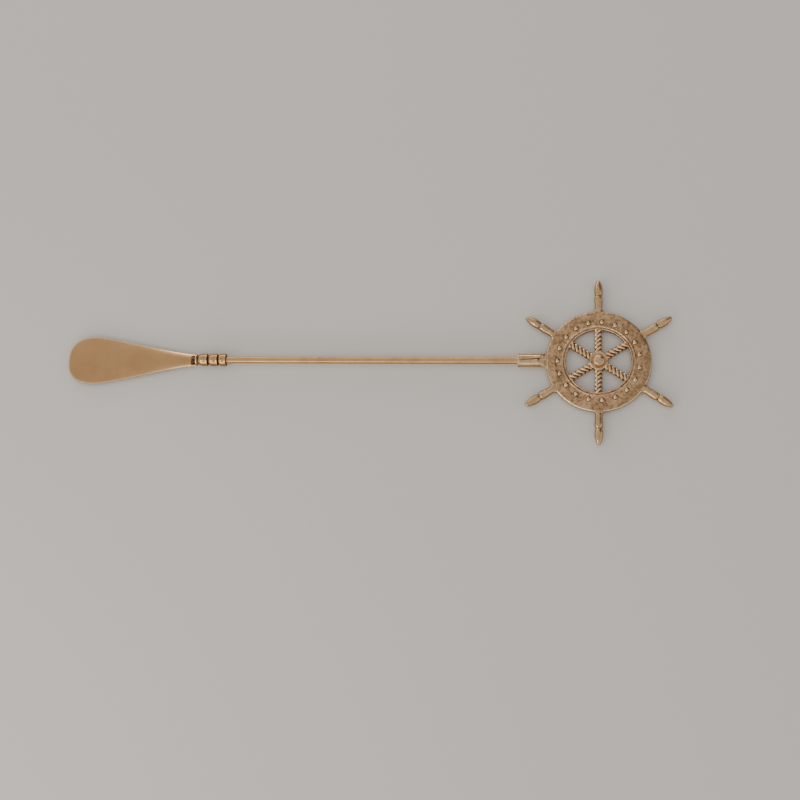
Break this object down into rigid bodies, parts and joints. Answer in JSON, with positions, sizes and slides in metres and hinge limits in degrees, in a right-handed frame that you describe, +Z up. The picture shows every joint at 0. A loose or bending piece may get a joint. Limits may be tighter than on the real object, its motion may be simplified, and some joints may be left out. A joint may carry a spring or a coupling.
{
  "type": "shoehorn",
  "caption": "Long-handled brass shoehorn: hollowed blade, beaded neck, slim rod and a small ship's-wheel grip with rope-twist spokes and turned hand grips.",
  "frame": {"origin": "on the surface that it lies on, under the middle of its whole length", "axes": "+X along the shaft from the blade to the wheel, +Z up out of the wheel's face and the blade's hollow, +Y across"},
  "size_m": [0.5452, 0.1514, 0.0124],
  "materials": {
    "blade_brass": "satin, warm tan, with a thin bright edge",
    "neck_brass": "turned and polished, with brown patina in the joints",
    "rod_brass": "drawn rod, polished lengthwise",
    "socket_brass": "cast and polished, with brown patina in the corners",
    "rim_brass": "cast, hand-finished, mottled with brown patina",
    "rivet_brass": "small polished heads, darker round their edges",
    "rope_brass": "cast, bright strands and dark grooves",
    "grip_brass": "turned and polished",
    "hub_brass": "cast, satin, with patina round the cap"
  },
  "bodies": {
    "root": {"blade": "blade_brass", "neck_collar": "neck_brass", "neck_bead_1": "neck_brass", "neck_bead_2": "neck_brass", "neck_bead_3": "neck_brass", "shaft_rod": "rod_brass", "wheel_socket": "socket_brass", "wheel_rim": "rim_brass", "rim_rivet_01": "rivet_brass", "rim_rivet_02": "rivet_brass", "rim_rivet_03": "rivet_brass", "rim_rivet_04": "rivet_brass", "rim_rivet_05": "rivet_brass", "rim_rivet_06": "rivet_brass", "rim_rivet_07": "rivet_brass", "rim_rivet_08": "rivet_brass", "rim_rivet_09": "rivet_brass", "rim_rivet_10": "rivet_brass", "rim_rivet_11": "rivet_brass", "rim_rivet_12": "rivet_brass", "rim_rivet_13": "rivet_brass", "rim_rivet_14": "rivet_brass", "rim_rivet_15": "rivet_brass", "rim_rivet_16": "rivet_brass", "rim_rivet_17": "rivet_brass", "rim_rivet_18": "rivet_brass", "rim_rivet_19": "rivet_brass", "rope_spoke_1": "rope_brass", "rope_spoke_2": "rope_brass", "rope_spoke_3": "rope_brass", "rope_spoke_4": "rope_brass", "rope_spoke_5": "rope_brass", "rope_spoke_6": "rope_brass", "hand_grip_1": "grip_brass", "hand_grip_2": "grip_brass", "hand_grip_3": "grip_brass", "hand_grip_4": "grip_brass", "hand_grip_5": "grip_brass", "hand_grip_6": "grip_brass", "wheel_hub": "hub_brass", "hub_cap": "hub_brass"}
  },
  "joints": []
}
